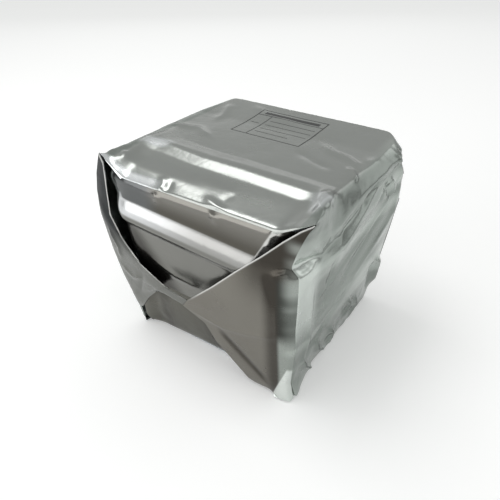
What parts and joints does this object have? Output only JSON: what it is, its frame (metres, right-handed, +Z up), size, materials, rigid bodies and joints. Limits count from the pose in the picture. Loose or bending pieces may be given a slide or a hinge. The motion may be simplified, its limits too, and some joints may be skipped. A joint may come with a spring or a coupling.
{
  "type": "wafer shipping box in a barrier bag",
  "caption": "Wafer shipping box with latched cover and slotted cassette, closed in a folded metallised moisture barrier bag.",
  "frame": {"origin": "middle of the package's footprint, on the surface that it rests on", "axes": "+Z up, X along the row of wafer slots, the bag's folded mouth faces -Y"},
  "size_m": [0.304, 0.262, 0.2508],
  "materials": {
    "barrier_film": "metallised, wrinkled",
    "clear_polypropylene": "natural translucent",
    "white_polypropylene": "fine matt",
    "blue_plastic": "satin",
    "seal_rubber": "matt"
  },
  "bodies": {
    "base": {"base_shell": "clear_polypropylene", "rim_gasket": "seal_rubber"},
    "cover": {"cover_shell": "clear_polypropylene", "wafer_cushion": "white_polypropylene"},
    "cassette": {"cassette": "white_polypropylene"},
    "latch_left": {"latch_left": "blue_plastic"},
    "latch_right": {"latch_right": "blue_plastic"},
    "bag": {"bag_tube": "barrier_film", "bag_front_panel": "barrier_film", "bag_tail_panel": "barrier_film", "bag_seal_strip": "barrier_film", "bag_rear_ear_left": "barrier_film", "bag_rear_ear_right": "barrier_film"},
    "ear_left": {"bag_ear_left": "barrier_film"},
    "ear_right": {"bag_ear_right": "barrier_film"}
  },
  "joints": [
    {"name": "bag_off", "type": "slide", "parent": "base", "child": "bag", "axis": [0, 1, 0], "range_m": [0, 0.3], "deforming": ["bag_tube", "bag_front_panel", "bag_tail_panel", "bag_seal_strip", "bag_rear_ear_left", "bag_rear_ear_right", "bag_ear_left", "bag_ear_right"]},
    {"name": "ear_right_fold", "type": "hinge", "parent": "bag", "child": "ear_right", "pos_m": [0.127, -0.1106, 0.0015], "axis": [0.0418, -0.0606, 0.9973], "range_deg": [0, 110]},
    {"name": "ear_left_fold", "type": "hinge", "parent": "bag", "child": "ear_left", "pos_m": [-0.143, -0.1057, 0.013], "axis": [0.0394, 0.0929, -0.9949], "range_deg": [0, 110]},
    {"name": "cover_lift", "type": "slide", "parent": "base", "child": "cover", "axis": [0, 0, 1], "range_m": [0, 0.26]},
    {"name": "cassette_lift", "type": "slide", "parent": "base", "child": "cassette", "axis": [0, 0, 1], "range_m": [0, 0.178]},
    {"name": "latch_right_hinge", "type": "hinge", "parent": "base", "child": "latch_right", "pos_m": [0.12349, 0, 0.132], "axis": [0, 1, 0], "range_deg": [0, 115]},
    {"name": "latch_left_hinge", "type": "hinge", "parent": "base", "child": "latch_left", "pos_m": [-0.12349, 0, 0.132], "axis": [0, -1, 0], "range_deg": [0, 115]}
  ],
  "couplings": [
    {"joint": "ear_right_fold", "follows": "bag_off", "rad_per_m": 6.3994},
    {"joint": "ear_left_fold", "follows": "bag_off", "rad_per_m": 6.3994},
    {"joint": "cover_lift", "follows": "bag_off", "ratio": 0.8666},
    {"joint": "cassette_lift", "follows": "bag_off", "ratio": 0.5933},
    {"joint": "latch_right_hinge", "follows": "bag_off", "rad_per_m": 6.6903},
    {"joint": "latch_left_hinge", "follows": "bag_off", "rad_per_m": 6.6903}
  ]
}
